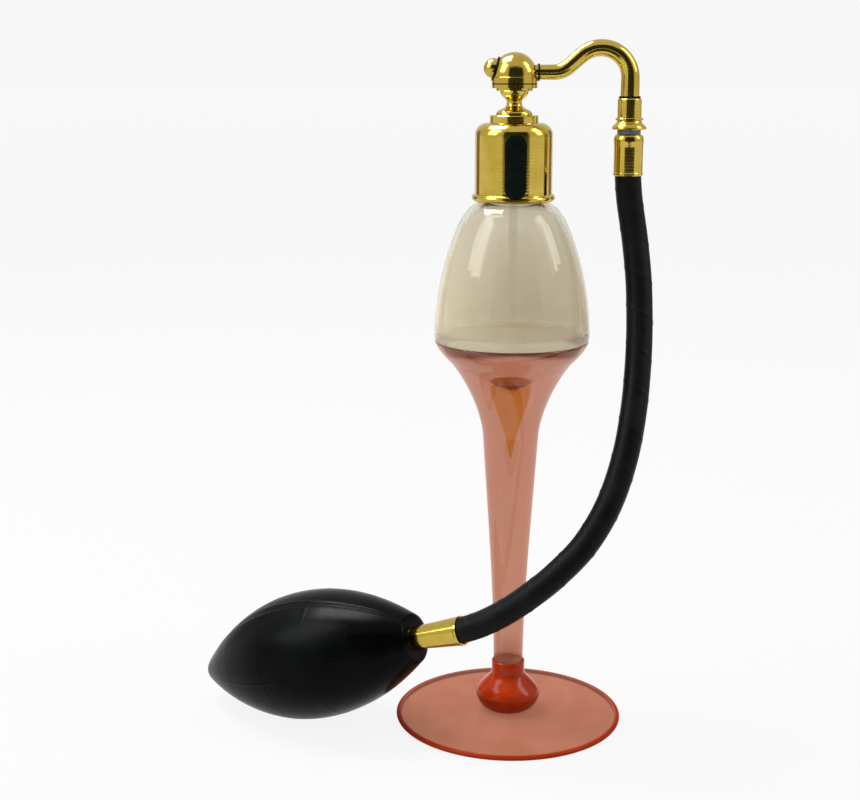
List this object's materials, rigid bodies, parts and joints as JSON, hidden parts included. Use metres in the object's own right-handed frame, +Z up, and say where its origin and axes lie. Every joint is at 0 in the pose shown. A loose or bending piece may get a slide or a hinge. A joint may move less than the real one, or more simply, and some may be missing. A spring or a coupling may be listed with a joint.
{
  "type": "perfume atomiser",
  "caption": "Tall stemmed glass perfume atomiser with a brass spray head, a swan-neck air pipe, a rubber hose and a squeeze bulb lying beside its foot.",
  "frame": {"origin": "centre of the foot's flat underside, on the surface the atomiser stands on", "axes": "+Z up the stem; the hose leaves on +X and passes the stem on the -Y side; the spray tip points to -X"},
  "size_m": [0.131, 0.0695, 0.1982],
  "materials": {
    "brass": "polished, slightly worn",
    "foot_glass": "pink glass with a red edge",
    "pink_glass": "clear pink glass",
    "red_glass": "deep orange-red glass",
    "amber_glass": "amber glass",
    "bottle_glass": "beige tinted glass",
    "clear_tube": "clear tubing",
    "valve_glass": "clear glass bead",
    "cork": "pressed cork and leather washer",
    "black_enamel": "fired black enamel",
    "black_fibre": "black fibre washer",
    "ball_grey": "grey-green, satin",
    "hose_rubber": "black rubber with a woven cover",
    "bulb_rubber": "smooth black rubber",
    "black_plastic": "moulded black plastic",
    "valve_rubber": "thin rubber disc"
  },
  "bodies": {
    "goblet": {"foot": "foot_glass", "stem_knop": "red_glass", "cup_stem": "pink_glass", "amber_drop": "amber_glass", "bottle": "bottle_glass", "neck_ring": "brass"},
    "gasket": {"neck_gasket": "cork"},
    "washer": {"slip_washer": "brass"},
    "cap": {"collar": "brass", "collar_inlay": "black_enamel", "collar_disc": "brass", "post": "brass", "head_clip": "brass", "swivel_washer": "black_fibre", "tube_socket": "brass", "siphon_tube": "clear_tube"},
    "head": {"dome": "brass", "nozzle_gasket": "black_fibre", "swan_neck": "brass", "neck_joint_ring": "black_fibre", "outlet_seal_ring": "black_fibre", "outlet_fitting": "brass"},
    "tip": {"spray_tip": "brass", "jet_tube": "brass"},
    "ball_joint": {"swivel_ball": "ball_grey", "stud_clip": "brass"},
    "hose_line": {"hose_ferrule": "brass", "hose_nipple": "brass", "hose": "hose_rubber", "bulb_ferrule": "brass", "bulb_nipple": "brass", "bulb": "bulb_rubber", "valve_seat": "black_plastic"},
    "thumb_patch": {"bulb_pad": "bulb_rubber"},
    "outlet_valve": {"check_ball": "valve_glass"},
    "inlet_valve": {"inlet_flap": "valve_rubber"}
  },
  "joints": [
    {"name": "head_lift", "type": "slide", "parent": "goblet", "child": "gasket", "axis": [0, 0, 1], "range_m": [0, 0.056]},
    {"name": "cap_rise", "type": "slide", "parent": "gasket", "child": "washer", "axis": [0, 0, 1], "range_m": [0, 0.0045]},
    {"name": "cap_turn", "type": "hinge", "parent": "washer", "child": "cap", "pos_m": [0, 0, 0.16], "axis": [0, 0, 1], "range_deg": [0, 540]},
    {"name": "head_swivel", "type": "hinge", "parent": "cap", "child": "head", "pos_m": [0, 0, 0.188], "axis": [0, 0, 1], "continuous": true},
    {"name": "tip_turn", "type": "hinge", "parent": "head", "child": "tip", "pos_m": [-0.00574, 0, 0.19035], "axis": [-0.9563, 0, 0.2924], "range_deg": [0, 270]},
    {"name": "hose_swivel", "type": "hinge", "parent": "head", "child": "ball_joint", "pos_m": [0.032, 0, 0.1732], "axis": [0, 0, 1], "range_deg": [0, 170]},
    {"name": "hose_tilt", "type": "hinge", "parent": "ball_joint", "child": "hose_line", "pos_m": [0.032, 0, 0.1732], "axis": [-1, 0, 0], "range_deg": [0, 15]},
    {"name": "bulb_squeeze", "type": "slide", "parent": "hose_line", "child": "thumb_patch", "axis": [0.2728, -0.1451, -0.9511], "range_m": [0, 0.01], "stiffness_N_per_m": 60},
    {"name": "outlet_ball_lift", "type": "slide", "parent": "hose_line", "child": "outlet_valve", "axis": [0.8397, -0.4465, 0.309], "range_m": [0, 0.0016]},
    {"name": "inlet_flap_lift", "type": "slide", "parent": "hose_line", "child": "inlet_valve", "axis": [0.8397, -0.4465, 0.309], "range_m": [0, 0.0008], "stiffness_N_per_m": 5}
  ],
  "couplings": [
    {"joint": "cap_turn", "follows": "cap_rise", "rad_per_m": 2094.4},
    {"joint": "outlet_ball_lift", "follows": "bulb_squeeze", "ratio": 0.16}
  ]
}
